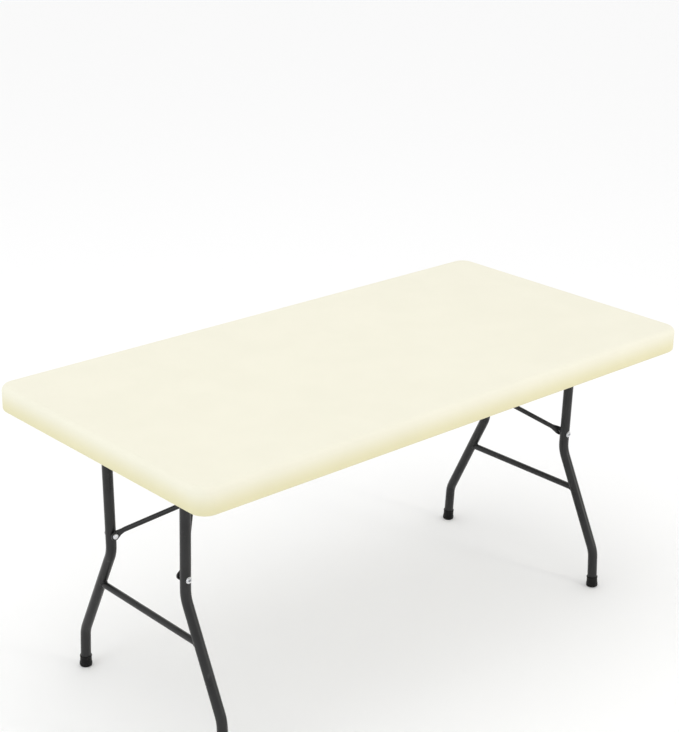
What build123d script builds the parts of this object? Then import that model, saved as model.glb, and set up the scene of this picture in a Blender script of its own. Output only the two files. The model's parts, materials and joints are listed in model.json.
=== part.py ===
from build123d import *
import os
from math import atan2, degrees, hypot

# A fitted, elastic-hemmed tablecloth on a folding banquet table, millimetres.
# Origin on the floor under the middle of the table, +X along the table, +Z up.
# The two ends are alike: each piece of an end is made for the +X end, and mirrored.

# ---- driving dimensions ------------------------------------------------------------
panel_length, panel_width = 1524.0, 762.0       # a 5 ft by 30 in table top
panel_top = 735.5
rim_height, rim_width = 60.0, 32.0              # the deep rim round the hollow underside
skin_thickness = 22.0                           # double-walled middle of the panel
panel_corner, recess_corner = 36.0, 20.0        # corner radii in plan
panel_top_round, panel_bottom_round = 12.0, 6.0

cloth_thickness = 1.2
cloth_ease, cloth_top_gap = 1.8, 0.3            # room between the cloth and the panel
cloth_drop = 63.5                               # the depth of the visible band of cloth
hem_inset = 40.0                                # from the cloth's outer face to the hem's middle
hem_radius, hem_wall, elastic_radius = 4.2, 0.8, 1.5

pivot_x, pivot_z = 628.0, 694.0                 # the fold axis of each leg frame
leg_radius, leg_wall, bend_radius = 12.5, 1.3, 75.0
pivot_radius, pivot_wall = 11.0, 1.5
upper_half_top, upper_half_bend = 149.0, 141.0  # half spacing of the two uprights
lower_half_bend, lower_half_foot = 265.0, 270.0
upper_bend_z, lower_bend_z = 357.0, 100.0
crossbar_z, crossbar_radius = 258.0, 8.0
rivet_z, rivet_radius, rivet_head_radius = 403.0, 4.0, 7.5
cap_height, cap_radius, cap_flare, cap_base = 29.0, 14.2, 15.4, 6.0

stay_rod_radius, stay_plate, stay_eye_radius = 6.0, 4.0, 10.0
stay_eye_y, stay_knee_y = 124.0, 5.0            # middles of an arm's two flat ends
stay_start_y, stay_end_y = 114.0, 9.6           # the rod's middle where it leaves each end
link_thickness, link_height = 5.0, 20.0
keeper_x, keeper_z = 240.0, 697.0               # the pin that holds the link's inner end
fit = 0.05                                      # radial clearance of a pin that turns

rail_y, rail_wall, rail_bottom = 329.0, 1.5, 677.5
rail_half_length, rail_top_flange, rail_bottom_flange = 690.0, 15.5, 7.5
bush_radius, bush_flange_radius = 13.5, 16.5
screw_radius, screw_head_radius, screw_head_height, screw_length = 2.2, 5.0, 3.0, 14.0

# ---- worked out from them ----------------------------------------------------------
rim_bottom = panel_top - rim_height
ceiling = panel_top - skin_thickness
cloth_top = panel_top + cloth_top_gap + cloth_thickness
cloth_length = panel_length + 2 * (cloth_ease + cloth_thickness)
cloth_width = panel_width + 2 * (cloth_ease + cloth_thickness)
cloth_corner = panel_corner + cloth_ease + cloth_thickness
cloth_bottom = cloth_top - cloth_drop
hem_z = cloth_bottom + hem_radius
rivet_reach = pivot_z - rivet_z
rivet_y = upper_half_top - (upper_half_top - upper_half_bend) * rivet_reach / (pivot_z - upper_bend_z)
brace_length = hypot(pivot_x - keeper_x, keeper_z - rivet_z)
brace_angle = degrees(atan2(keeper_z - rivet_z, keeper_x - pivot_x))
# The knee divides the open, straight stay so that its halves fold back flat on each other.
folded_length = hypot(pivot_x - rivet_reach - keeper_x, pivot_z - keeper_z)
stay_reach = (brace_length - folded_length) / 2

os.makedirs("parts", exist_ok=True)


def write(name, *solids):
    """Write one node, as one solid or as a group of separate solids."""
    pieces = [solid for piece in solids for solid in piece.solids()]
    export_step(pieces[0] if len(pieces) == 1 else Compound(pieces), f"parts/{name}.step")


def both_ends(name, *solids):
    """Write a node of the +X end, and its mirror image at the -X end."""
    write(f"right_{name}", *solids)
    write(f"left_{name}", *[mirror(solid, about=Plane.YZ) for solid in solids])


def rounded_block(length, width, corner, bottom, top):
    """An upright block with rounded corners in plan."""
    plan = Pos(0, 0, bottom) * RectangleRounded(length, width, corner)
    return extrude(plan, top - bottom)


def rod_y(x, z, radius, y_low, y_high):
    """A round bar along Y."""
    middle = Pos(x, (y_low + y_high) / 2, z)
    return middle * Rot(90, 0, 0) * Cylinder(radius, abs(y_high - y_low))


def domed_head(x, z, y_face, side, radius, height):
    """A rivet or pin head on the face at y_face, standing out along side * Y."""
    head = rod_y(x, z, radius, y_face, y_face + side * height)
    rim = head.edges().filter_by(GeomType.CIRCLE).sort_by(Axis.Y)
    return fillet(rim[-1] if side > 0 else rim[0], 0.8 * height)


def screw(x, y, face):
    """A pan-head screw driven up into the panel from the face at height face."""
    head = Pos(x, y, face - screw_head_height / 2) * Cylinder(screw_head_radius, screw_head_height)
    head = fillet(head.edges().filter_by(GeomType.CIRCLE).sort_by(Axis.Z)[0], 1.5)
    shank = Pos(x, y, face + screw_length / 2) * Cylinder(screw_radius, screw_length)
    return head + shank


# ---- tabletop panel ----------------------------------------------------------------
def make_panel():
    block = rounded_block(panel_length, panel_width, panel_corner, rim_bottom, panel_top)
    block = fillet(block.edges().group_by(Axis.Z)[-1], panel_top_round)
    block = fillet(block.edges().group_by(Axis.Z)[0], panel_bottom_round)
    recess = rounded_block(panel_length - 2 * rim_width, panel_width - 2 * rim_width,
                           recess_corner, rim_bottom - 1, ceiling)
    recess = fillet(recess.edges().group_by(Axis.Z)[-1], 3.0)
    return block - recess


# ---- side rails, with the bushes that carry the pivot tubes --------------------------
def make_rail(side):
    web = Pos(0, side * (rail_y + rail_wall / 2), (ceiling + rail_bottom) / 2) * Box(
        2 * rail_half_length, rail_wall, ceiling - rail_bottom)
    top = Pos(0, side * (rail_y + rail_top_flange / 2), ceiling - rail_wall / 2) * Box(
        2 * rail_half_length, rail_top_flange, rail_wall)
    bottom = Pos(0, side * (rail_y + rail_bottom_flange / 2), rail_bottom + rail_wall / 2) * Box(
        2 * rail_half_length, rail_bottom_flange, rail_wall)
    rail = web + top + bottom
    for x in (-pivot_x, pivot_x):
        rail -= rod_y(x, pivot_z, bush_radius, side * (rail_y - 1), side * (rail_y + rail_wall + 1))
    return rail


def make_bush(side):
    sleeve = rod_y(pivot_x, pivot_z, bush_radius, side * (rail_y - 2), side * (rail_y + 5))
    flange = rod_y(pivot_x, pivot_z, bush_flange_radius, side * (rail_y - 2), side * rail_y)
    bore = rod_y(pivot_x, pivot_z, pivot_radius + fit, side * (rail_y - 9), side * (rail_y + 9))
    return sleeve + flange - bore


# ---- keeper bracket under the panel, where the folding stay is pinned ----------------
bracket_plate, bracket_base = 2.5, (44.0, 72.0)
ear_inner, ear_thickness, ear_radius = 3.2, 3.0, 11.0
bracket_screw_spots = [(keeper_x + dx, dy) for dx in (-13.0, 13.0) for dy in (-25.0, 25.0)]


def make_bracket():
    base = Pos(keeper_x, 0, ceiling - bracket_plate / 2) * Box(*bracket_base, bracket_plate)
    base = fillet(base.edges().filter_by(Axis.Z), 8)
    for side in (-1, 1):
        ear = rod_y(keeper_x, keeper_z, ear_radius, side * ear_inner, side * (ear_inner + ear_thickness))
        web = Pos(keeper_x, side * (ear_inner + ear_thickness / 2), (keeper_z + ceiling) / 2) * Box(
            2 * ear_radius, ear_thickness, ceiling - keeper_z - 0.5)
        base += ear + web
    return base - rod_y(keeper_x, keeper_z, rivet_radius, -20, 20)


def make_keeper_pin():
    reach = ear_inner + ear_thickness
    pin = rod_y(keeper_x, keeper_z, rivet_radius, -reach, reach)
    for side in (-1, 1):
        pin += domed_head(keeper_x, keeper_z, side * reach, side, 6.5, 3.0)
    return pin


# ---- tablecloth: one stretched skin, tucked under the rim to an elastic hem -----------
def make_cloth():
    lip_half = hem_inset - hem_radius
    skin = rounded_block(cloth_length, cloth_width, cloth_corner, cloth_bottom, cloth_top)
    skin = fillet(skin.edges().group_by(Axis.Z)[-1], panel_top_round + 2)
    skin = fillet(skin.edges().group_by(Axis.Z)[0], panel_bottom_round + 2)
    room = rounded_block(cloth_length - 2 * cloth_thickness, cloth_width - 2 * cloth_thickness,
                         cloth_corner - cloth_thickness, cloth_bottom + cloth_thickness,
                         cloth_top - cloth_thickness)
    room = fillet(room.edges().group_by(Axis.Z)[-1], panel_top_round + 0.8)
    room = fillet(room.edges().group_by(Axis.Z)[0], panel_bottom_round + 0.8)
    mouth = rounded_block(cloth_length - 2 * lip_half, cloth_width - 2 * lip_half,
                          recess_corner, cloth_bottom - 1, cloth_bottom + 2 * cloth_thickness)
    return skin - room - mouth


def hem_ring(section):
    """Sweep a round section along the hem's line, a rounded rectangle."""
    half_x, half_y = cloth_length / 2 - hem_inset, cloth_width / 2 - hem_inset
    line = Pos(0, 0, hem_z) * RectangleRounded(
        2 * half_x, 2 * half_y, recess_corner - (hem_inset - cloth_ease - cloth_thickness - rim_width))
    start = Plane(origin=(0, half_y, hem_z), x_dir=(0, 1, 0), z_dir=(1, 0, 0))
    return sweep(start * section, path=line.wire(), transition=Transition.ROUND)


# ---- leg frame, drawn about its fold axis and then put in place -----------------------
def leg_place(piece):
    return Pos(pivot_x, 0, pivot_z) * piece


def leg_path(side, foot_drop):
    corners = [
        (0, side * upper_half_top, 0),
        (0, side * upper_half_bend, upper_bend_z - pivot_z),
        (0, side * lower_half_bend, lower_bend_z - pivot_z),
        (0, side * lower_half_foot, -foot_drop),
    ]
    return FilletPolyline(*corners, radius=bend_radius)


def leg_tube(side, radius, foot_drop=pivot_z - cap_base):
    path = leg_path(side, foot_drop)
    start = Plane(origin=path @ 0, z_dir=path % 0)
    return sweep(start * Circle(radius), path=path)


def make_leg(side):
    tube = leg_tube(side, leg_radius) - leg_tube(side, leg_radius - leg_wall)
    tube -= rod_y(0, 0, pivot_radius, -200, 200)
    return tube - rod_y(0, -rivet_reach, rivet_radius, side * 100, side * 180)


def make_pivot_tube():
    end = rail_y + 9
    return rod_y(0, 0, pivot_radius, -end, end) - rod_y(0, 0, pivot_radius - pivot_wall, -end, end)


def make_crossbar():
    share = (upper_bend_z - crossbar_z) / (upper_bend_z - lower_bend_z)
    reach = upper_half_bend + share * (lower_half_bend - upper_half_bend)
    bar = rod_y(0, crossbar_z - pivot_z, crossbar_radius, -reach, reach)
    return bar - leg_tube(-1, leg_radius) - leg_tube(1, leg_radius)


def make_foot_cap(side):
    """A moulded foot round the end of the leg, cut level where it meets the floor."""
    path = leg_path(side, pivot_z - cap_base)
    along = path % 1
    axis = Plane(origin=path @ 1 + cap_base * along, z_dir=-along)
    outline = Polyline((0, -2), (cap_flare - 2, -2), (cap_flare, 4), (cap_flare, 8),
                       (cap_radius, 13), (cap_radius - 0.5, cap_height), (0, cap_height), (0, -2))
    cap = revolve(make_face(Plane.XZ * outline), Axis.Z)
    cap -= Pos(0, 0, cap_base + cap_height / 2) * Cylinder(leg_radius, cap_height)
    cap = leg_place(axis * cap)
    return cap - Pos(pivot_x, 0, -25) * Box(200, 800, 50)


def make_stay_rivet(side):
    """Rivet through a leg, whose inner end carries the eye of a stay arm."""
    outer, inner = rivet_y + leg_radius + 0.2, stay_eye_y - stay_plate / 2 - 0.3
    shank = rod_y(0, -rivet_reach, rivet_radius, side * inner, side * outer)
    outer_head = domed_head(0, -rivet_reach, side * outer, side, rivet_head_radius, 3.5)
    inner_head = domed_head(0, -rivet_reach, side * inner, -side, rivet_head_radius - 0.5, 3.0)
    return shank + outer_head + inner_head


# ---- folding stay: two arms from the legs to the knee, and a link on to the keeper ---
# These are drawn along their own line, X from the leg rivet towards the keeper.
eye_length, taper_length = 10.0, 16.0


def stay_place(piece):
    return Pos(pivot_x, 0, rivet_z) * Rot(0, -brace_angle, 0) * piece


def flat_eye(x, y, reach):
    """A flat end of an arm round a pin at x, running on to x + reach."""
    disc = rod_y(x, 0, stay_eye_radius, y - stay_plate / 2, y + stay_plate / 2)
    strap = Pos(x + reach / 2, y, 0) * Box(abs(reach), stay_plate, 2 * stay_eye_radius)
    return disc + strap


def taper(x_flat, y_flat, rod_end, rod_direction):
    """The stretch where the flat end turns into the round rod."""
    flat = Plane(origin=(x_flat, y_flat, 0), x_dir=(0, 1, 0), z_dir=(1, 0, 0))
    across = Vector(0, 0, 1).cross(rod_direction)
    rod = Plane(origin=rod_end, x_dir=across, z_dir=rod_direction)
    return loft([flat * RectangleRounded(stay_plate, 2 * stay_eye_radius, stay_plate * 0.45),
                 rod * Circle(stay_rod_radius)])


def make_stay_arm(side):
    rod_start, rod_end = eye_length + taper_length, stay_reach - eye_length - taper_length
    line = FilletPolyline((rod_start, side * stay_start_y, 0), (rod_end - 20, side * stay_end_y, 0),
                          (rod_end, side * stay_end_y, 0), radius=24)
    rod = sweep(Plane(origin=line @ 0, z_dir=line % 0) * Circle(stay_rod_radius), path=line)
    arm = rod + flat_eye(0, side * stay_eye_y, eye_length)
    arm += taper(eye_length, side * stay_eye_y, line @ 0, line % 0)
    arm += flat_eye(stay_reach, side * stay_knee_y, -eye_length)
    arm += taper(stay_reach - eye_length, side * stay_knee_y, line @ 1, line % 1)
    arm -= rod_y(0, 0, rivet_radius + fit, side * 100, side * 150)
    return arm - rod_y(stay_reach, 0, rivet_radius, 0, side * 20)


def make_knee_rivet(side):
    """One side's half of the knee rivet, which stops short of the link between the arms."""
    inner, outer = stay_knee_y - stay_plate / 2 + 0.2, stay_knee_y + stay_plate / 2
    head = domed_head(stay_reach, 0, side * outer, side, rivet_head_radius, 3.0)
    return rod_y(stay_reach, 0, rivet_radius, side * inner, side * outer) + head


def make_link():
    bar = Pos((stay_reach + brace_length) / 2, 0, 0) * Box(
        brace_length - stay_reach, link_thickness, link_height)
    for x in (stay_reach, brace_length):
        bar += rod_y(x, 0, link_height / 2, -link_thickness / 2, link_thickness / 2)
    return bar - rod_y(brace_length, 0, rivet_radius + fit, -10, 10)


# ---- write the nodes -----------------------------------------------------------------
rail_screws = [screw(x, side * (rail_y + 10), ceiling - rail_wall)
               for side in (-1, 1) for x in (-600, -300, 0, 300, 600)]
bracket_screws = [screw(x, y, ceiling - bracket_plate) for x, y in bracket_screw_spots]
bracket_screws_left = [mirror(piece, about=Plane.YZ) for piece in bracket_screws]

panel = make_panel()
for piece in rail_screws + bracket_screws + bracket_screws_left:
    panel -= piece
write("table_panel", panel)

for side, end in ((-1, "front"), (1, "back")):
    rail = make_rail(side)
    for piece in rail_screws:
        rail -= piece
    write(f"{end}_side_rail", rail)
write("rail_screws", *rail_screws)

bracket = make_bracket()
for piece in bracket_screws:
    bracket -= piece
both_ends("pivot_bushes", make_bush(-1), make_bush(1))
both_ends("keeper_bracket", bracket)
both_ends("keeper_pin", make_keeper_pin())
write("bracket_screws", *bracket_screws, *bracket_screws_left)

write("tablecloth", make_cloth())
write("cloth_hem", hem_ring(Circle(hem_radius) - Circle(hem_radius - hem_wall)))
write("hem_elastic", hem_ring(Circle(elastic_radius)))

both_ends("pivot_tube", leg_place(make_pivot_tube()))
both_ends("crossbar", leg_place(make_crossbar()))
both_ends("stay_rivets", *[leg_place(make_stay_rivet(side)) for side in (-1, 1)])
both_ends("knee_rivet", *[stay_place(make_knee_rivet(side)) for side in (-1, 1)])
both_ends("stay_link", stay_place(make_link()))
for side, end in ((-1, "front"), (1, "back")):
    both_ends(f"{end}_leg", leg_place(make_leg(side)))
    both_ends(f"{end}_foot_cap", make_foot_cap(side))
    both_ends(f"{end}_stay_arm", stay_place(make_stay_arm(side)))
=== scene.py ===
import json
from math import atan2, cos, hypot, pi, radians, sin, sqrt, tan

import bmesh
import bpy
from mathutils import Matrix, Vector


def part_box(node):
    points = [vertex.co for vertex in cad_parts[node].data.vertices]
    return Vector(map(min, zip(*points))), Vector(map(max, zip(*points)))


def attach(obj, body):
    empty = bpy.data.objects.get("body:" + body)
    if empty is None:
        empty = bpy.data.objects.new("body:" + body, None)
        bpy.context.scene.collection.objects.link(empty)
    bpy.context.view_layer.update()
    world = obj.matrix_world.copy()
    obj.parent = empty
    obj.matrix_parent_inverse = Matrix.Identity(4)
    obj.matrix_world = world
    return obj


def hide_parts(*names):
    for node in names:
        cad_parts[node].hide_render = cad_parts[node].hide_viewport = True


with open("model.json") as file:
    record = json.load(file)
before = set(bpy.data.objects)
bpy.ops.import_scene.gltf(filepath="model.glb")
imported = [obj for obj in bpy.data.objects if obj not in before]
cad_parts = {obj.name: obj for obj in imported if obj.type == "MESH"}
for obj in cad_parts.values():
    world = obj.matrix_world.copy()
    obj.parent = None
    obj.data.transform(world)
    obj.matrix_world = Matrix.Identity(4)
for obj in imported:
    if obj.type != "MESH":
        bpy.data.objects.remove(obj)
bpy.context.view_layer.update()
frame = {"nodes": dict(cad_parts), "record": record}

# A fitted cream tablecloth on a folding banquet table, in metres.
# Sizes are read from the frame; the cloth, the moulded top and the small hardware are made here.

nodes = frame["nodes"]
ENDS = ("left", "right")
SIDES = (("front", -1), ("back", 1))


# ---- shader maths ----------------------------------------------------------------------
class Value:
    """A number that varies over a surface; arithmetic on it adds Math nodes."""

    def __init__(self, finish, socket):
        self.finish, self.socket = finish, socket

    def math(self, operation, *terms):
        sockets = dict(enumerate(terms))
        return self.finish.node("ShaderNodeMath", {"operation": operation}, sockets)

    def __add__(self, other):
        return self.math("ADD", self, other)

    def __radd__(self, other):
        return self.math("ADD", other, self)

    def __sub__(self, other):
        return self.math("SUBTRACT", self, other)

    def __rsub__(self, other):
        return self.math("SUBTRACT", other, self)

    def __mul__(self, other):
        return self.math("MULTIPLY", self, other)

    def __rmul__(self, other):
        return self.math("MULTIPLY", other, self)

    def sine(self):
        return self.math("SINE", self)


class Finish:
    """A material: its nodes, and the Principled surface that they end in."""

    def __init__(self, name, **plain):
        self.material = bpy.data.materials.new(name)
        self.material.use_nodes = True
        self.tree = self.material.node_tree
        self.surface = self.tree.nodes["Principled BSDF"]
        for socket, value in plain.items():
            self.surface.inputs[socket.replace("_", " ")].default_value = value

    def node(self, kind, settings=None, sockets=None, out=0):
        """Any node: its settings are set first, then the values or links of its sockets."""
        made = self.tree.nodes.new(kind)
        for key, value in (settings or {}).items():
            setattr(made, key, value)
        for key, value in (sockets or {}).items():
            if isinstance(value, Value):
                self.tree.links.new(value.socket, made.inputs[key])
            else:
                made.inputs[key].default_value = value
        return Value(self, made.outputs[out])

    def place(self):
        """Object coordinates, in metres."""
        return self.node("ShaderNodeTexCoord", out=3)

    def noise(self, scale, detail=2.0, roughness=0.5):
        return self.node("ShaderNodeTexNoise", {}, {
            "Vector": self.place(), "Scale": scale, "Detail": detail, "Roughness": roughness})

    def fade(self, value, low, high, to_low=0.0, to_high=1.0):
        """value, carried from low..high to to_low..to_high and held there."""
        return self.node("ShaderNodeMapRange", {"interpolation_type": "SMOOTHSTEP"}, {
            "Value": value, "From Min": low, "From Max": high, "To Min": to_low, "To Max": to_high})

    def mix(self, share, first, second):
        """One colour turning into another."""
        return self.node("ShaderNodeMix", {"data_type": "RGBA"}, {0: share, 6: first, 7: second}, out=2)

    def set(self, socket, value):
        self.tree.links.new(value.socket, self.surface.inputs[socket])

    def bump(self, height, distance, strength=1.0):
        raised = self.node("ShaderNodeBump", {}, {
            "Height": height, "Distance": distance, "Strength": strength})
        self.set("Normal", raised)


# ---- finishes --------------------------------------------------------------------------
cloth_low, cloth_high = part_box("tablecloth")


def cloth_finish():
    """Fine cream knitted polyester, stretched smooth, with painted shade that darkens the sides towards
    the bottom.
    """
    finish = Finish("cream_polyester_knit", Specular_IOR_Level=0.22, Sheen_Weight=0.25,
                    Sheen_Roughness=0.45, Sheen_Tint=(1.0, 0.97, 0.86, 1))
    point = finish.place()
    x, y, z = (finish.node("ShaderNodeSeparateXYZ", {}, {0: point}, out=axis) for axis in range(3))
    loops = 2 * pi / 0.0009             # knitted loops 0.9 mm apart
    wale = ((x + z) * loops).sine()
    course = ((y + z) * loops).sine()
    knit = wale * course
    slub = finish.noise(9, detail=3)
    thread = finish.noise(1400, detail=1)
    # painted shade: the colour goes from the pale top cream, over the rounded edge, to a darker and
    # yellower cream down the sides, darkest at the bottom edge
    painted_side_shade = finish.fade(z, cloth_high.z - 0.002, cloth_low.z + 0.004)
    top_cream = finish.mix(finish.fade(slub, 0.3, 0.7), (0.828, 0.806, 0.676, 1), (0.843, 0.820, 0.690, 1))
    painted_shade_cream = finish.mix(finish.fade(slub, 0.3, 0.7), (0.722, 0.676, 0.428, 1), (0.742, 0.696, 0.446, 1))
    cream = finish.mix(painted_side_shade, top_cream, painted_shade_cream)
    shade = finish.fade(knit, -1, 1, 0.0, 0.08)
    finish.set("Base Color", finish.mix(shade, cream, (0.76, 0.71, 0.50, 1)))
    finish.set("Roughness", finish.fade(thread, 0.2, 0.8, 0.66, 0.80))
    finish.bump(knit * 0.6 + thread * 0.6, 0.00012, 0.6)
    return finish.material


def powder_coat(name, dark, light, gloss):
    """Charcoal powder coat: a fine orange peel, a little rubbed."""
    finish = Finish(name, Specular_IOR_Level=0.36)
    peel = finish.noise(1100, detail=2)
    cloud = finish.noise(14, detail=4)
    rub = finish.fade(finish.noise(38, detail=6, roughness=0.65), 0.62, 0.74)
    base = finish.mix(finish.fade(cloud, 0.35, 0.65), (dark, dark, dark, 1), (light, light, light, 1))
    finish.set("Base Color", finish.mix(rub * 0.35, base, (0.085, 0.085, 0.085, 1)))
    finish.set("Roughness", finish.fade(cloud, 0.3, 0.7, gloss, gloss + 0.10) + rub * 0.08)
    finish.bump(peel, 0.00010, 0.5)
    return finish.material


def zinc_finish():
    finish = Finish("bright_zinc", Metallic=1.0)
    spangle = finish.noise(420, detail=3)
    finish.set("Base Color", finish.mix(
        finish.fade(spangle, 0.3, 0.7), (0.62, 0.63, 0.65, 1), (0.80, 0.80, 0.81, 1)))
    finish.set("Roughness", finish.fade(spangle, 0.3, 0.7, 0.22, 0.36))
    finish.bump(spangle, 0.00006, 0.4)
    return finish.material


def rubber_finish():
    finish = Finish("black_moulded_foot", Specular_IOR_Level=0.18)
    scuff = finish.noise(160, detail=5)
    finish.set("Base Color", finish.mix(
        finish.fade(scuff, 0.55, 0.75), (0.004, 0.004, 0.004, 1), (0.013, 0.013, 0.013, 1)))
    finish.set("Roughness", finish.fade(scuff, 0.35, 0.7, 0.38, 0.58))
    finish.bump(scuff, 0.00010, 0.5)
    return finish.material


def panel_finish():
    """Pale blow-moulded polyethylene with a pebbled skin."""
    finish = Finish("pebbled_polyethylene", Specular_IOR_Level=0.4)
    pebble = finish.node("ShaderNodeTexVoronoi", {"feature": "SMOOTH_F1"}, {
        "Vector": finish.place(), "Scale": 420, "Smoothness": 0.7})
    speck = finish.noise(900, detail=2)
    finish.set("Base Color", finish.mix(
        finish.fade(speck, 0.60, 0.72), (0.70, 0.69, 0.66, 1), (0.52, 0.51, 0.49, 1)))
    finish.set("Roughness", finish.fade(pebble, 0.1, 0.7, 0.48, 0.62))
    finish.bump(pebble, 0.00035, 0.6)
    return finish.material


def nylon_finish():
    finish = Finish("natural_nylon", Specular_IOR_Level=0.45)
    cloud = finish.noise(60, detail=3)
    finish.set("Base Color", finish.mix(cloud, (0.78, 0.76, 0.70, 1), (0.70, 0.68, 0.60, 1)))
    finish.set("Roughness", finish.fade(cloud, 0.3, 0.7, 0.32, 0.46))
    return finish.material


def elastic_finish():
    finish = Finish("covered_elastic", Roughness=0.8, Sheen_Weight=0.2)
    rib = finish.noise(700, detail=2)
    finish.set("Base Color", finish.mix(rib, (0.84, 0.82, 0.76, 1), (0.70, 0.68, 0.62, 1)))
    finish.bump(rib, 0.0002, 0.7)
    return finish.material


FINISHES = {
    "cloth": cloth_finish(),
    "elastic": elastic_finish(),
    "moulded_panel": panel_finish(),
    "leg_powder_coat": powder_coat("charcoal_powder_coat", 0.009, 0.015, 0.26),
    "rail_paint": powder_coat("rail_powder_coat", 0.026, 0.036, 0.42),
    "zinc": zinc_finish(),
    "nylon": nylon_finish(),
    "foot_rubber": rubber_finish(),
}

for part in frame["record"]["subparts"]:
    mesh = nodes[part["node"]].data
    mesh.materials.clear()
    mesh.materials.append(FINISHES[part["material_slot"]])


# ---- making a piece --------------------------------------------------------------------
def finish_piece(name, bm, slot, body, replaced=(), smooth_angle=40):
    """Turn a bmesh into a piece that rides on a body and stands for CAD nodes."""
    bmesh.ops.recalc_face_normals(bm, faces=bm.faces)
    for face in bm.faces:
        face.smooth = True
    for edge in bm.edges:
        if len(edge.link_faces) == 2 and edge.calc_face_angle() > radians(smooth_angle):
            edge.smooth = False
    mesh = bpy.data.meshes.new(name)
    bm.to_mesh(mesh)
    bm.free()
    mesh.materials.append(FINISHES[slot])
    piece = bpy.data.objects.new(name, mesh)
    bpy.context.scene.collection.objects.link(piece)
    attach(piece, body)
    if replaced:
        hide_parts(*replaced)
    return piece


# ---- shapes that the pieces share ------------------------------------------------------
def spread(share, half, corner, corner_share):
    """Where the grid line at a share from -1 to 1 lies: the outer corner_share of them crowd
    into the corner."""
    inner = 1 - corner_share
    if abs(share) <= inner:
        return share / inner * (half - corner)
    beyond = (abs(share) - inner) / corner_share * corner
    return (half - corner + beyond) * (1 if share > 0 else -1)


def new_verts(grown):
    return [item for item in grown if isinstance(item, bmesh.types.BMVert)]


def new_edges(grown):
    return [item for item in grown if isinstance(item, bmesh.types.BMEdge)]


def grow_ring(bm, ring, keys, place):
    """Extrude an edge ring; each new vertex takes its root's key and goes to place(key)."""
    grown = bmesh.ops.extrude_edge_only(bm, edges=ring)["geom"]
    fresh = {}
    for vert in new_verts(grown):
        root = next(edge.other_vert(vert) for edge in vert.link_edges if edge.other_vert(vert) in keys)
        fresh[vert] = keys[root]
        vert.co = place(fresh[vert])
    return new_edges(grown), fresh


class RoundedTray:
    """A grid over a round-cornered rectangle, whose edge is then carried on ring by ring."""

    def __init__(self, cells_x, cells_y, corner_cells):
        self.bm = bmesh.new()
        bmesh.ops.create_grid(self.bm, x_segments=cells_x, y_segments=cells_y, size=1)
        self.crowd = (2 * corner_cells / cells_x, 2 * corner_cells / cells_y)
        self.ring = [edge for edge in self.bm.edges if edge.is_boundary]
        self.shares = {vert: (vert.co.x, vert.co.y) for vert in self.bm.verts}

    def point(self, shares, half_x, half_y, corner, height):
        """The point at grid shares, with the square corners drawn in to round ones."""
        x = spread(shares[0], half_x, corner, self.crowd[0])
        y = spread(shares[1], half_y, corner, self.crowd[1])
        over_x, over_y = abs(x) - (half_x - corner), abs(y) - (half_y - corner)
        if over_x > 0 and over_y > 0:
            u, v = over_x / corner, over_y / corner
            x = (half_x - corner + corner * u * sqrt(1 - v * v / 2)) * (1 if x > 0 else -1)
            y = (half_y - corner + corner * v * sqrt(1 - u * u / 2)) * (1 if y > 0 else -1)
        return Vector((x, y, height))

    def lay(self, *border):
        """Give the grid its border: half length, half width, corner radius and height."""
        for vert, shares in self.shares.items():
            vert.co = self.point(shares, *border)

    def carry(self, borders):
        """Extrude the edge once for each border."""
        for border in borders:
            self.ring, self.shares = grow_ring(
                self.bm, self.ring, self.shares, lambda shares: self.point(shares, *border))


def quarter_round(steps, radius, start, end):
    """(sideways, down) along a rounded edge, for turns from start to end degrees."""
    turns = [radians(start + (end - start) * k / steps) for k in range(1, steps + 1)]
    return [(radius * (1 - sin(turn)), radius * (1 - cos(turn))) for turn in turns]


def evenly(start, end, steps):
    """The heights of steps equal steps, without the start."""
    return [start + (end - start) * k / steps for k in range(1, steps + 1)]


def outline(half_x, half_y, corner, along_x, along_y, around):
    """(point, outward direction) round a round-cornered rectangle. The counts are for each
    side along X, each side along Y and each corner."""
    places = []
    for quarter in range(4):
        out = Matrix.Rotation(quarter * pi / 2, 3, "Z") @ Vector((0, -1, 0))
        way = Matrix.Rotation(quarter * pi / 2, 3, "Z") @ Vector((1, 0, 0))
        reach, off, count = (half_x, half_y, along_x) if quarter % 2 == 0 else (half_y, half_x, along_y)
        for k in range(count):
            places.append((out * off + way * (reach - corner) * (2 * k / count - 1), out))
        for k in range(around):
            turn = k / around * pi / 2
            aside = out * cos(turn) + way * sin(turn)
            places.append((out * (off - corner) + way * (reach - corner) + aside * corner, aside))
    return places


def lathe(profile_mm, segments):
    """Turn (radius, height) points, in mm, round the Z axis; they start and end on the axis."""
    bm = bmesh.new()
    line = [bm.verts.new((radius / 1000, 0, height / 1000)) for radius, height in profile_mm]
    edges = [bm.edges.new(pair) for pair in zip(line, line[1:])]
    bmesh.ops.spin(bm, geom=line + edges, cent=(0, 0, 0), axis=(0, 0, 1), angle=2 * pi,
                   steps=segments, use_merge=True)
    bmesh.ops.remove_doubles(bm, verts=bm.verts, dist=1e-6)
    return bm


def stand(direction, at):
    """The placing that turns a piece's Z axis along direction and puts its origin at a point."""
    return Matrix.Translation(at) @ Vector(direction).to_track_quat("Z", "Y").to_matrix().to_4x4()


def join_into(target, source):
    """Add one bmesh to another."""
    spare = bpy.data.meshes.new("spare")
    source.to_mesh(spare)
    source.free()
    target.from_mesh(spare)
    bpy.data.meshes.remove(spare)


def middle_of(node):
    """The centre of a CAD node's box."""
    low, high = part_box(node)
    return (low + high) / 2


def thicken(piece, thickness, offset):
    """Give a sheet its thickness: inwards for an offset of -1, both ways for 0."""
    wall = piece.modifiers.new("thickness", "SOLIDIFY")
    wall.thickness, wall.offset = thickness, offset


# ---- tablecloth: the stretched skin ----------------------------------------------------
half_length, half_width = cloth_high.x, cloth_high.y
cloth_top, cloth_bottom = cloth_high.z, cloth_low.z
plan_corner = 0.039
top_round, bottom_round = 0.014, 0.009
skin_thickness = 0.0010
seam_inset = 0.019                      # where the skin meets the gathered hem, under the rim


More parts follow.
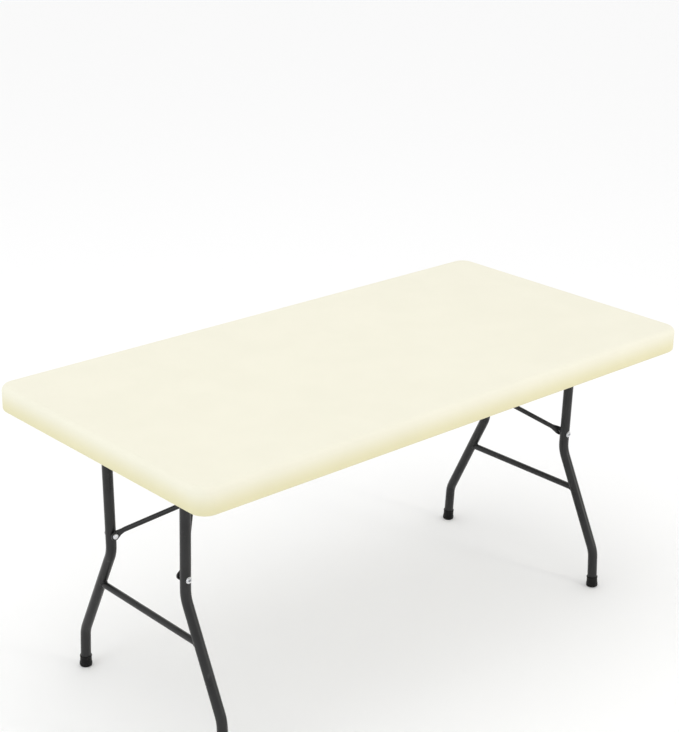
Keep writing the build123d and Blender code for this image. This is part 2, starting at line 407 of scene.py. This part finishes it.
def make_skin():
    """The stretched skin: flat over the top, round the edge, down the sides and under the rim."""
    def border(inset, height):
        return half_length - inset, half_width - inset, plan_corner - inset, height

    tray = RoundedTray(120, 64, 8)
    tray.lay(*border(top_round, cloth_top))
    upper = quarter_round(8, top_round, 0, 90)
    side = evenly(cloth_top - top_round, cloth_bottom + bottom_round, 5)
    lower = quarter_round(6, bottom_round, 90, 0)
    tray.carry(border(inset, cloth_top - drop) for inset, drop in upper)
    tray.carry(border(0, height) for height in side)
    tray.carry(border(inset, cloth_bottom + rise) for inset, rise in lower)
    tray.carry(border(inset, cloth_bottom) for inset in ((bottom_round + seam_inset) / 2, seam_inset))
    piece = finish_piece("tablecloth_skin", tray.bm, "cloth", "table", ("tablecloth",), smooth_angle=80)
    thicken(piece, skin_thickness, -1)
    return piece


# ---- tablecloth: the gathered hem, round its elastic -----------------------------------
hem_low, hem_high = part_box("cloth_hem")
hem_radius = (hem_high.z - hem_low.z) / 2
hem_z = hem_low.z + hem_radius
hem_corner = 0.015
hem_counts = (700, 336, 16)             # steps along a long side, a short side and a corner
hem_thickness = 0.0007
gather_hang, casing_gather = 0.0026, 0.0007


def gather(share):
    """The height, -1 to 1, of the uneven gathers at a share of the way round."""
    turn = 2 * pi * share
    wide = sin(331 * turn + 2.6 * sin(53 * turn) + 1.9 * sin(119 * turn))
    fine = sin(557 * turn + 3.1 * sin(37 * turn))
    return 0.74 * wide + 0.26 * fine


def make_hem():
    """Gathered cloth from the seam inwards, wrapped round the elastic."""
    seam = outline(half_length - seam_inset, half_width - seam_inset, plan_corner - seam_inset,
                   *hem_counts)
    middle = outline(hem_high.x - hem_radius, hem_high.y - hem_radius, hem_corner, *hem_counts)
    folds = [gather(k / len(seam)) for k in range(len(seam))]
    casing = hem_radius * 0.84
    seam_z = cloth_bottom + skin_thickness / 2

    def flat_point(k, share):
        at = seam[k][0].lerp(middle[k][0], share)
        hang = gather_hang * share * (2 - share) * (1 + folds[k])
        at.z = seam_z - hang * (1 - share ** 6) + (hem_z - casing - seam_z) * share ** 6
        return at

    def casing_point(k, turn):
        at, out = middle[k]
        radius = casing + casing_gather * folds[k] * sin(turn / 2)
        return at - out * radius * sin(turn) + Vector((0, 0, hem_z - radius * cos(turn)))

    bm = bmesh.new()
    loop = bmesh.ops.create_circle(bm, segments=len(seam), radius=1)["verts"]
    order = {vert: k for k, vert in enumerate(loop)}
    for vert, k in order.items():
        vert.co = flat_point(k, 0)
    ring = list(bm.edges)
    for share in (0.12, 0.3, 0.55, 0.8, 1.0):
        ring, order = grow_ring(bm, ring, order, lambda k: flat_point(k, share))
    for turn in range(32, 321, 32):
        ring, order = grow_ring(bm, ring, order, lambda k: casing_point(k, radians(turn)))
    piece = finish_piece("gathered_hem", bm, "cloth", "table", ("cloth_hem",), smooth_angle=80)
    thicken(piece, hem_thickness, 0)
    return piece


def make_stitches():
    """The row of stitches that holds the hem to the skin."""
    stitch, thread, sunk = 0.0032, 0.0003, 0.00005
    inset = seam_inset - 0.0022
    line = outline(half_length - inset, half_width - inset, plan_corner - inset, 310, 148, 8)
    bm = bmesh.new()
    for at, out in line:
        placing = stand((-out.y, out.x, 0), Vector((at.x, at.y, cloth_bottom - sunk)))
        bmesh.ops.create_cone(bm, cap_ends=True, segments=5, radius1=thread, radius2=thread,
                              depth=stitch, matrix=placing)
    return finish_piece("hem_stitches", bm, "cloth", "table")


skin = make_skin()
sewn_on = [make_hem(), make_stitches()]


# ---- the moulded top -------------------------------------------------------------------
panel_low, panel_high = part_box("table_panel")
panel_corner, recess_corner, rim_width = 0.036, 0.020, 0.032
ceiling = 0.7135                        # the underside of the double-walled middle
fillet, lip = 0.003, 0.0025             # inside the recess, and on the rim's inner edge
rim_round, top_edge_round = 0.006, 0.012
cells_x, cells_y, corner_cells = 44, 26, 4
tack_inset, tack_radius = 0.006, 0.0105
TACK_STEPS = ((0.0012, 0.0008), (0.0016, 0.0058), (0.0018, 0.0014))     # (inwards, up) of a pit
tack_reach_x, tack_reach_y = 0.700, 0.300
bracket_x, bracket_clear_x, bracket_clear_y = 0.240, 0.048, 0.062


def is_tack(face, pitch_x, pitch_y):
    """Whether a cell of the underside is pressed up: every other one, clear of the hardware."""
    at = face.calc_center_median()
    near_bracket = abs(abs(at.x) - bracket_x) < bracket_clear_x and abs(at.y) < bracket_clear_y
    if abs(at.y) > tack_reach_y or abs(at.x) > tack_reach_x or near_bracket:
        return False
    return (int(at.x // pitch_x) + int(at.y // pitch_y)) % 2 == 0


def press_tacks(bm, faces):
    """Press a round pit up into each face."""
    bmesh.ops.inset_individual(bm, faces=faces, thickness=tack_inset, depth=0)
    for face in faces:
        middle = face.calc_center_median()
        bmesh.ops.subdivide_edges(bm, edges=list(face.edges), cuts=3)
        for vert in face.verts:
            vert.co = middle + (vert.co - middle).normalized() * tack_radius
    for inwards, up in TACK_STEPS:
        bmesh.ops.inset_individual(bm, faces=faces, thickness=inwards, depth=up)


def make_panel():
    """The moulded top: a hollow underside with pressed-up pits, inside a deep rim."""
    half_x, half_y, top, rim_bottom = panel_high.x, panel_high.y, panel_high.z, panel_low.z
    recess_x, recess_y = half_x - rim_width, half_y - rim_width

    def recess(inset, height):
        return recess_x - inset, recess_y - inset, recess_corner - inset, height

    def outer(inset, height):
        return half_x - inset, half_y - inset, panel_corner - inset, height

    tray = RoundedTray(cells_x, cells_y, corner_cells)
    tray.lay(*recess(fillet, ceiling))
    underside = list(tray.bm.faces)
    tray.carry(recess(side, ceiling - down) for side, down in quarter_round(3, fillet, 0, 90))
    tray.carry(recess(0, height) for height in evenly(ceiling - fillet, rim_bottom + fillet, 3))
    tray.carry(recess(-side, rim_bottom + up) for side, up in ((0, lip), (0.0007, 0.0007), (lip, 0)))
    tray.carry([outer(rim_round, rim_bottom)])
    tray.carry(outer(side, rim_bottom + up) for side, up in quarter_round(4, rim_round, 0, 90))
    tray.carry(outer(0, height) for height in evenly(rim_bottom + rim_round, top - top_edge_round, 3))
    tray.carry(outer(side, top - down) for side, down in quarter_round(5, top_edge_round, 90, 0))
    bmesh.ops.edgeloop_fill(tray.bm, edges=tray.ring)
    pitch_x = 2 * (recess_x - recess_corner) / (cells_x - 2 * corner_cells)
    pitch_y = 2 * (recess_y - recess_corner) / (cells_y - 2 * corner_cells)
    press_tacks(tray.bm, [face for face in underside if is_tack(face, pitch_x, pitch_y)])
    finish_piece("moulded_top", tray.bm, "moulded_panel", "table", ("table_panel",), smooth_angle=50)


make_panel()


# ---- feet, rivets and welds ------------------------------------------------------------
leg_radius, crossbar_radius, pivot_radius = 0.0125, 0.008, 0.011
upright_half_top = 0.149                # half the spacing of the uprights at the pivot tube
upper_bend_half, upper_bend_z = 0.141, 0.357
lower_bend_half, lower_bend_z = 0.265, 0.100
foot_half = 0.2703                      # half the spacing of the feet on the floor
foot_axis_out, foot_axis_up = -0.0053, 0.0999
rivet_head = 0.0035
bead_radius, bead_lift, bead_ripple, bead_ripples = 0.0017, 0.0004, 0.09, 17

# (radius, height) profiles in mm.
FOOT = [(0, 0), (12.2, 0), (14.4, 1.2), (15.3, 3.0), (15.4, 6.0), (15.0, 6.5), (14.6, 7.0),
        (15.0, 7.5), (15.2, 8.0), (15.2, 9.6), (14.7, 10.1), (14.3, 10.6), (14.6, 11.1),
        (14.7, 11.6), (14.3, 14.0), (13.9, 24.4), (14.5, 25.2), (14.6, 27.6), (14.1, 28.8),
        (13.2, 29.0), (12.6, 28.6), (12.6, 6.0), (0, 6.0)]
RIVET = [(0, -36.0), (3.4, -35.9), (5.5, -35.2), (6.7, -34.0), (7.0, -33.0), (4.0, -33.0),
         (4.0, 0.0), (7.8, 0.0), (8.1, 0.3), (8.1, 0.8), (7.8, 1.1), (6.2, 1.1), (6.6, 1.7),
         (6.5, 2.6), (5.9, 3.3), (5.0, 3.6), (4.1, 3.4), (3.4, 2.8), (3.1, 1.8), (3.0, 0.5),
         (3.0, -4.0), (2.4, -4.6), (0, -5.0)]


def make_foot(end, side, out):
    """A moulded foot with grip rings, on the axis of the leg's lower end and flat on the floor."""
    cap = f"{end}_{side}_foot_cap"
    bm = lathe(FOOT, 48)
    bm.transform(stand((0, foot_axis_out * out, foot_axis_up),
                       Vector((middle_of(cap).x, foot_half * out, 0))))
    for vert in bm.verts:
        vert.co.z = max(vert.co.z, 0.0)
    finish_piece(f"{end}_{side}_moulded_foot", bm, "foot_rubber", f"{end}_legs", (cap,), smooth_angle=35)


def make_rivets(end):
    """Each upright's rivet: a washer and a clinched head outside, a domed head inside."""
    rivets = f"{end}_stay_rivets"
    middle, outermost = middle_of(rivets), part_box(rivets)[1].y
    bm = bmesh.new()
    for _, out in SIDES:
        rivet = lathe(RIVET, 36)
        rivet.transform(stand((0, out, 0), Vector((middle.x, out * (outermost - rivet_head), middle.z))))
        join_into(bm, rivet)
    finish_piece(f"{end}_clinched_rivets", bm, "zinc", f"{end}_legs", (rivets,), smooth_angle=35)


def weld_bead(bm, middle, radius, seam, start=0.0, sweep=2 * pi):
    """Add a rippled bead round a bar along Y; seam(across, up) is where the other tube meets it."""
    whole = sweep == 2 * pi
    bead = bmesh.new()
    made = bmesh.ops.create_circle(bead, segments=10, radius=bead_radius)["verts"]
    bmesh.ops.rotate(bead, verts=made, cent=(0, 0, 0), matrix=Matrix.Rotation(pi / 2, 3, "X"))
    bmesh.ops.translate(bead, verts=made, vec=(radius + bead_lift, 0, 0))
    bmesh.ops.rotate(bead, verts=made, cent=(0, 0, 0), matrix=Matrix.Rotation(start, 3, "Z"))
    bmesh.ops.spin(bead, geom=list(bead.verts) + list(bead.edges), cent=(0, 0, 0), axis=(0, 0, 1),
                   angle=sweep, steps=round(72 * sweep / (2 * pi)), use_merge=whole)
    if not whole:
        bmesh.ops.holes_fill(bead, edges=[edge for edge in bead.edges if edge.is_boundary])
    for vert in bead.verts:
        turn, reach = atan2(vert.co.y, vert.co.x), hypot(vert.co.x, vert.co.y)
        ripple = 1 + bead_ripple * sin(bead_ripples * turn)
        reach = radius + (reach - radius) * ripple
        along = seam(radius * cos(turn), radius * sin(turn)) + vert.co.z * ripple
        vert.co = middle + Vector((reach * cos(turn), along, reach * sin(turn)))
    join_into(bm, bead)


def make_welds(end):
    """The beads where the crossbar and the pivot tube meet the legs."""
    crossbar, pivot = middle_of(f"{end}_crossbar"), middle_of(f"{end}_pivot_tube")
    tilt = atan2(lower_bend_half - upper_bend_half, upper_bend_z - lower_bend_z)
    leg_y = upper_bend_half + (upper_bend_z - crossbar.z) * tan(tilt)
    bm = bmesh.new()
    for _, out in SIDES:
        weld_bead(bm, crossbar, crossbar_radius, lambda across, up: out * (
            leg_y - (sqrt(leg_radius ** 2 - across ** 2) + up * sin(tilt)) / cos(tilt)))
        for face in (-1, 1):
            weld_bead(bm, pivot, pivot_radius, lambda across, up: (
                out * upright_half_top + face * sqrt(leg_radius ** 2 - across ** 2)),
                start=pi, sweep=pi)
    finish_piece(f"{end}_leg_welds", bm, "leg_powder_coat", f"{end}_legs", smooth_angle=80)


for end in ENDS:
    for side, out in SIDES:
        make_foot(end, side, out)
    make_rivets(end)
    make_welds(end)


# ---- floor, light and camera -----------------------------------------------------------
floor_half = 14


def make_floor():
    """A plain pale floor, wide enough to fill the view."""
    bm = bmesh.new()
    bmesh.ops.create_grid(bm, x_segments=1, y_segments=1, size=floor_half)
    mesh = bpy.data.meshes.new("floor")
    bm.to_mesh(mesh)
    bm.free()
    floor = bpy.data.objects.new("floor", mesh)
    bpy.context.scene.collection.objects.link(floor)
    finish = Finish("pale_floor", Base_Color=(0.97, 0.97, 0.97, 1), Roughness=0.9,
                    Specular_IOR_Level=0.1)
    mesh.materials.append(finish.material)


def area_light(name, at, aim, size, power, tint=(1, 1, 1)):
    """A round soft light at one point, aimed at another."""
    lamp = bpy.data.lights.new(name, "AREA")
    lamp.shape, lamp.size, lamp.energy, lamp.color = "DISK", size, power, tint
    holder = bpy.data.objects.new(name, lamp)
    holder.location = at
    holder.rotation_euler = (Vector(aim) - Vector(at)).to_track_quat("-Z", "Y").to_euler()
    bpy.context.scene.collection.objects.link(holder)


def make_light():
    """An even white studio, with soft lights from above, the left and the front right."""
    world = bpy.data.worlds.new("studio")
    world.use_nodes = True
    sky = world.node_tree.nodes["Background"].inputs
    sky["Color"].default_value, sky["Strength"].default_value = (1, 1, 1, 1), 0.98
    bpy.context.scene.world = world
    area_light("overhead", (-0.4, 0.3, 4.2), (0, 0, 0.6), 3.2, 16)
    area_light("left_side", (-4.6, 0.2, 1.7), (0, 0, 0.6), 2.2, 21, (0.86, 0.94, 1.0))
    area_light("right_front", (1.9, -4.4, 1.5), (-0.4, -0.3, 0.3), 0.5, 26, (1.0, 0.98, 0.92))
    bpy.context.scene.view_settings.view_transform = "Standard"


def make_camera():
    """A camera standing off the front left corner, a little rolled."""
    azimuth, elevation, roll = radians(-42.299), radians(20.774), radians(-0.874)
    target, distance, lens_mm = Vector((0.562, 0.677, 0.370)), 4.984, 82.43902
    back = Vector((sin(azimuth) * cos(elevation), -cos(azimuth) * cos(elevation), sin(elevation)))
    level = (-back).cross(Vector((0, 0, 1))).normalized()
    down = (-back).cross(level)
    right = level * cos(roll) + down * sin(roll)
    down = down * cos(roll) - level * sin(roll)
    lens = bpy.data.cameras.new("camera")
    lens.sensor_width, lens.lens = 36.0, lens_mm
    lens.clip_end = 60
    camera = bpy.data.objects.new("camera", lens)
    camera.matrix_world = Matrix((right, -down, back)).transposed().to_4x4()
    camera.location = target + back * distance
    bpy.context.scene.collection.objects.link(camera)
    bpy.context.scene.camera = camera


make_floor()
make_light()
make_camera()
